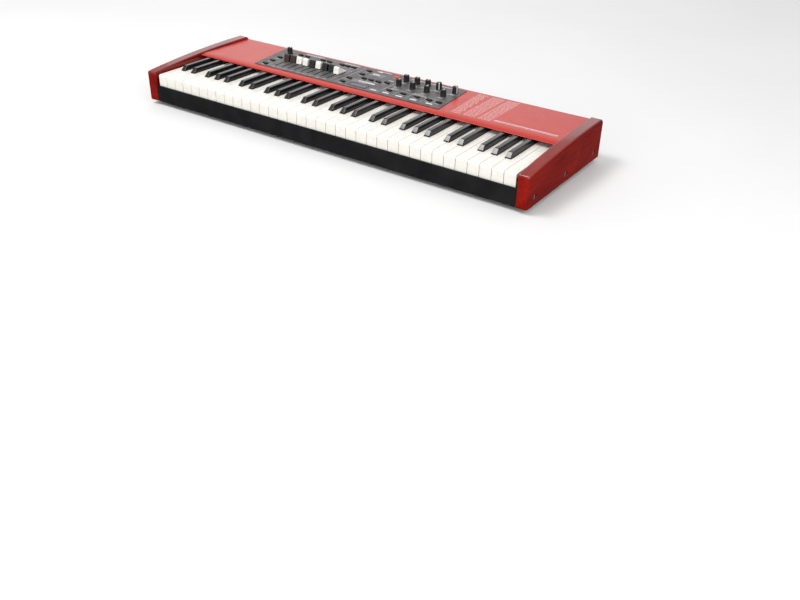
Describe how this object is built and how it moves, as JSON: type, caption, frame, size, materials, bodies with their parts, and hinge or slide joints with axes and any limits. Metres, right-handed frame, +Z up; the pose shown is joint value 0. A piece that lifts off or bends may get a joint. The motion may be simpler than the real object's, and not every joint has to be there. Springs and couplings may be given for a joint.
{
  "type": "synthesizer",
  "caption": "Stage keyboard synthesizer with a waterfall keyboard, drawbars, rotary knobs and buttons on a grey panel, in a red case between wooden cheeks.",
  "frame": {"origin": "on the surface the feet stand on, under the middle of the case", "axes": "+X along the keyboard to the treble end, +Y to the rear away from the player, +Z up"},
  "size_m": [0.9, 0.287, 0.0943],
  "materials": {
    "red_wood": "glossy clear lacquer over red stain",
    "red_steel": "smooth semi-gloss red paint",
    "black_steel": "satin black powder coat",
    "alloy": "plain folded sheet",
    "grey_panel": "matt grey, printed",
    "ivory": "polished",
    "ebony": "satin black",
    "dark_plastic": "fine moulded texture",
    "brown_plastic": "fine moulded texture",
    "white_plastic": "fine moulded texture",
    "lens": "clear dark lens",
    "circuit_board": "solder mask",
    "rubber": "matt",
    "red_felt": "felt"
  },
  "bodies": {
    "case": {"bottom_pan": "black_steel", "left_cheek": "red_wood", "right_cheek": "red_wood", "key_slip": "black_steel", "top_cover": "red_steel", "control_panel": "grey_panel", "display_window": "lens", "foot_front_left": "rubber", "foot_front_right": "rubber", "foot_rear_left": "rubber", "foot_rear_right": "rubber", "key_frame": "alloy", "key_felt_strip": "red_felt", "key_contact_board": "circuit_board", "contact_rubber_strip": "rubber", "panel_board": "circuit_board", "main_board": "circuit_board", "power_supply": "alloy", "jack_board": "dark_plastic", "power_inlet": "dark_plastic"},
    "keys_whites_ceg_1": {"keys_whites_ceg_1": "ivory"},
    "keys_whites_dfa_1": {"keys_whites_dfa_1": "ivory"},
    "keys_sharps_1": {"keys_sharps_1": "ebony"},
    "keys_whites_ceg_2": {"keys_whites_ceg_2": "ivory"},
    "keys_whites_dfa_2": {"keys_whites_dfa_2": "ivory"},
    "keys_sharps_2": {"keys_sharps_2": "ebony"},
    "keys_whites_ceg_3": {"keys_whites_ceg_3": "ivory"},
    "keys_whites_dfa_3": {"keys_whites_dfa_3": "ivory"},
    "keys_sharps_3": {"keys_sharps_3": "ebony"},
    "keys_whites_ceg_4": {"keys_whites_ceg_4": "ivory"},
    "keys_whites_dfa_4": {"keys_whites_dfa_4": "ivory"},
    "keys_sharps_4": {"keys_sharps_4": "ebony"},
    "keys_whites_ceg_5": {"keys_whites_ceg_5": "ivory"},
    "keys_whites_dfa_5": {"keys_whites_dfa_5": "ivory"},
    "keys_sharps_5": {"keys_sharps_5": "ebony"},
    "key_top_c": {"key_top_c": "ivory"},
    "drawbar_1": {"drawbar_1": "brown_plastic"},
    "drawbar_2": {"drawbar_2": "brown_plastic"},
    "drawbar_3": {"drawbar_3": "white_plastic"},
    "drawbar_4": {"drawbar_4": "white_plastic"},
    "drawbar_5": {"drawbar_5": "ebony"},
    "drawbar_6": {"drawbar_6": "white_plastic"},
    "drawbar_7": {"drawbar_7": "ebony"},
    "drawbar_8": {"drawbar_8": "ebony"},
    "drawbar_9": {"drawbar_9": "white_plastic"},
    "knob_level": {"knob_level": "dark_plastic"},
    "knob_upper_1": {"knob_upper_1": "dark_plastic"},
    "knob_upper_2": {"knob_upper_2": "dark_plastic"},
    "knob_upper_3": {"knob_upper_3": "dark_plastic"},
    "knob_upper_4": {"knob_upper_4": "dark_plastic"},
    "knob_upper_5": {"knob_upper_5": "dark_plastic"},
    "knob_lower_1": {"knob_lower_1": "dark_plastic"},
    "knob_lower_2": {"knob_lower_2": "dark_plastic"},
    "knob_lower_3": {"knob_lower_3": "dark_plastic"},
    "knob_lower_4": {"knob_lower_4": "dark_plastic"},
    "buttons_mode": {"buttons_mode": "dark_plastic"},
    "buttons_organ": {"buttons_organ": "dark_plastic"},
    "buttons_program": {"buttons_program": "dark_plastic"},
    "buttons_effects": {"buttons_effects": "dark_plastic"},
    "power_rocker": {"power_rocker": "dark_plastic"}
  },
  "joints": [
    {"name": "keys_whites_ceg_1_press", "type": "hinge", "parent": "case", "child": "keys_whites_ceg_1", "pos_m": [-0.34075, 0.072, 0.049], "axis": [1, 0, 0], "range_deg": [0, 2.8], "stiffness_Nm_per_rad": 4, "springref_deg": -8.59},
    {"name": "keys_whites_dfa_1_press", "type": "hinge", "parent": "case", "child": "keys_whites_dfa_1", "pos_m": [-0.34015, 0.072, 0.049], "axis": [1, 0, 0], "range_deg": [0, 2.8], "stiffness_Nm_per_rad": 3, "springref_deg": -8.59},
    {"name": "keys_sharps_1_press", "type": "hinge", "parent": "case", "child": "keys_sharps_1", "pos_m": [-0.34015, 0.072, 0.049], "axis": [1, 0, 0], "range_deg": [0, 3.2], "stiffness_Nm_per_rad": 4, "springref_deg": -8.59},
    {"name": "keys_whites_ceg_2_press", "type": "hinge", "parent": "case", "child": "keys_whites_ceg_2", "pos_m": [-0.17625, 0.072, 0.049], "axis": [1, 0, 0], "range_deg": [0, 2.8], "stiffness_Nm_per_rad": 4, "springref_deg": -8.59},
    {"name": "keys_whites_dfa_2_press", "type": "hinge", "parent": "case", "child": "keys_whites_dfa_2", "pos_m": [-0.17565, 0.072, 0.049], "axis": [1, 0, 0], "range_deg": [0, 2.8], "stiffness_Nm_per_rad": 3, "springref_deg": -8.59},
    {"name": "keys_sharps_2_press", "type": "hinge", "parent": "case", "child": "keys_sharps_2", "pos_m": [-0.17565, 0.072, 0.049], "axis": [1, 0, 0], "range_deg": [0, 3.2], "stiffness_Nm_per_rad": 4, "springref_deg": -8.59},
    {"name": "keys_whites_ceg_3_press", "type": "hinge", "parent": "case", "child": "keys_whites_ceg_3", "pos_m": [-0.01175, 0.072, 0.049], "axis": [1, 0, 0], "range_deg": [0, 2.8], "stiffness_Nm_per_rad": 4, "springref_deg": -8.59},
    {"name": "keys_whites_dfa_3_press", "type": "hinge", "parent": "case", "child": "keys_whites_dfa_3", "pos_m": [-0.01115, 0.072, 0.049], "axis": [1, 0, 0], "range_deg": [0, 2.8], "stiffness_Nm_per_rad": 3, "springref_deg": -8.59},
    {"name": "keys_sharps_3_press", "type": "hinge", "parent": "case", "child": "keys_sharps_3", "pos_m": [-0.01115, 0.072, 0.049], "axis": [1, 0, 0], "range_deg": [0, 3.2], "stiffness_Nm_per_rad": 4, "springref_deg": -8.59},
    {"name": "keys_whites_ceg_4_press", "type": "hinge", "parent": "case", "child": "keys_whites_ceg_4", "pos_m": [0.15275, 0.072, 0.049], "axis": [1, 0, 0], "range_deg": [0, 2.8], "stiffness_Nm_per_rad": 4, "springref_deg": -8.59},
    {"name": "keys_whites_dfa_4_press", "type": "hinge", "parent": "case", "child": "keys_whites_dfa_4", "pos_m": [0.15335, 0.072, 0.049], "axis": [1, 0, 0], "range_deg": [0, 2.8], "stiffness_Nm_per_rad": 3, "springref_deg": -8.59},
    {"name": "keys_sharps_4_press", "type": "hinge", "parent": "case", "child": "keys_sharps_4", "pos_m": [0.15335, 0.072, 0.049], "axis": [1, 0, 0], "range_deg": [0, 3.2], "stiffness_Nm_per_rad": 4, "springref_deg": -8.59},
    {"name": "keys_whites_ceg_5_press", "type": "hinge", "parent": "case", "child": "keys_whites_ceg_5", "pos_m": [0.31725, 0.072, 0.049], "axis": [1, 0, 0], "range_deg": [0, 2.8], "stiffness_Nm_per_rad": 4, "springref_deg": -8.59},
    {"name": "keys_whites_dfa_5_press", "type": "hinge", "parent": "case", "child": "keys_whites_dfa_5", "pos_m": [0.31785, 0.072, 0.049], "axis": [1, 0, 0], "range_deg": [0, 2.8], "stiffness_Nm_per_rad": 3, "springref_deg": -8.59},
    {"name": "keys_sharps_5_press", "type": "hinge", "parent": "case", "child": "keys_sharps_5", "pos_m": [0.31785, 0.072, 0.049], "axis": [1, 0, 0], "range_deg": [0, 3.2], "stiffness_Nm_per_rad": 4, "springref_deg": -8.59},
    {"name": "key_top_c_press", "type": "hinge", "parent": "case", "child": "key_top_c", "pos_m": [0.41125, 0.072, 0.049], "axis": [1, 0, 0], "range_deg": [0, 2.8], "stiffness_Nm_per_rad": 1.2, "springref_deg": -8.59},
    {"name": "drawbar_1_slide", "type": "slide", "parent": "case", "child": "drawbar_1", "axis": [0, 1, 0], "range_m": [-0.043, 0]},
    {"name": "drawbar_2_slide", "type": "slide", "parent": "case", "child": "drawbar_2", "axis": [0, 1, 0], "range_m": [-0.043, 0]},
    {"name": "drawbar_3_slide", "type": "slide", "parent": "case", "child": "drawbar_3", "axis": [0, 1, 0], "range_m": [-0.043, 0]},
    {"name": "drawbar_4_slide", "type": "slide", "parent": "case", "child": "drawbar_4", "axis": [0, 1, 0], "range_m": [-0.043, 0]},
    {"name": "drawbar_5_slide", "type": "slide", "parent": "case", "child": "drawbar_5", "axis": [0, 1, 0], "range_m": [-0.043, 0]},
    {"name": "drawbar_6_slide", "type": "slide", "parent": "case", "child": "drawbar_6", "axis": [0, 1, 0], "range_m": [-0.043, 0]},
    {"name": "drawbar_7_slide", "type": "slide", "parent": "case", "child": "drawbar_7", "axis": [0, 1, 0], "range_m": [-0.043, 0]},
    {"name": "drawbar_8_slide", "type": "slide", "parent": "case", "child": "drawbar_8", "axis": [0, 1, 0], "range_m": [-0.043, 0]},
    {"name": "drawbar_9_slide", "type": "slide", "parent": "case", "child": "drawbar_9", "axis": [0, 1, 0], "range_m": [-0.038, 0.005]},
    {"name": "knob_level_turn", "type": "hinge", "parent": "case", "child": "knob_level", "pos_m": [-0.2735, 0.1085, 0.0796], "axis": [0, 0, 1], "range_deg": [-150, 150]},
    {"name": "knob_upper_1_turn", "type": "hinge", "parent": "case", "child": "knob_upper_1", "pos_m": [0.0375, 0.107, 0.0796], "axis": [0, 0, 1], "range_deg": [-150, 150]},
    {"name": "knob_upper_2_turn", "type": "hinge", "parent": "case", "child": "knob_upper_2", "pos_m": [0.064, 0.107, 0.0796], "axis": [0, 0, 1], "range_deg": [-150, 150]},
    {"name": "knob_upper_3_turn", "type": "hinge", "parent": "case", "child": "knob_upper_3", "pos_m": [0.0895, 0.107, 0.0796], "axis": [0, 0, 1], "range_deg": [-150, 150]},
    {"name": "knob_upper_4_turn", "type": "hinge", "parent": "case", "child": "knob_upper_4", "pos_m": [0.1155, 0.107, 0.0796], "axis": [0, 0, 1], "range_deg": [-3, 297]},
    {"name": "knob_upper_5_turn", "type": "hinge", "parent": "case", "child": "knob_upper_5", "pos_m": [0.1535, 0.1065, 0.0796], "axis": [0, 0, 1], "range_deg": [-38, 262]},
    {"name": "knob_lower_1_turn", "type": "hinge", "parent": "case", "child": "knob_lower_1", "pos_m": [0.0405, 0.0755, 0.0796], "axis": [0, 0, 1], "range_deg": [-150, 150]},
    {"name": "knob_lower_2_turn", "type": "hinge", "parent": "case", "child": "knob_lower_2", "pos_m": [0.0735, 0.0755, 0.0796], "axis": [0, 0, 1], "range_deg": [-150, 150]},
    {"name": "knob_lower_3_turn", "type": "hinge", "parent": "case", "child": "knob_lower_3", "pos_m": [0.107, 0.0755, 0.0796], "axis": [0, 0, 1], "range_deg": [-150, 150]},
    {"name": "knob_lower_4_turn", "type": "hinge", "parent": "case", "child": "knob_lower_4", "pos_m": [0.1455, 0.0755, 0.0796], "axis": [0, 0, 1], "range_deg": [-150, 150]},
    {"name": "buttons_mode_press", "type": "slide", "parent": "case", "child": "buttons_mode", "axis": [0, 0, -1], "range_m": [0, 0.0008], "stiffness_N_per_m": 200, "springref_m": -0.002},
    {"name": "buttons_organ_press", "type": "slide", "parent": "case", "child": "buttons_organ", "axis": [0, 0, -1], "range_m": [0, 0.0008], "stiffness_N_per_m": 200, "springref_m": -0.002},
    {"name": "buttons_program_press", "type": "slide", "parent": "case", "child": "buttons_program", "axis": [0, 0, -1], "range_m": [0, 0.0008], "stiffness_N_per_m": 200, "springref_m": -0.002},
    {"name": "buttons_effects_press", "type": "slide", "parent": "case", "child": "buttons_effects", "axis": [0, 0, -1], "range_m": [0, 0.0008], "stiffness_N_per_m": 200, "springref_m": -0.002},
    {"name": "power_rocker_tilt", "type": "hinge", "parent": "case", "child": "power_rocker", "pos_m": [0.3535, 0.134, 0.042], "axis": [1, 0, 0], "range_deg": [0, 14]}
  ]
}
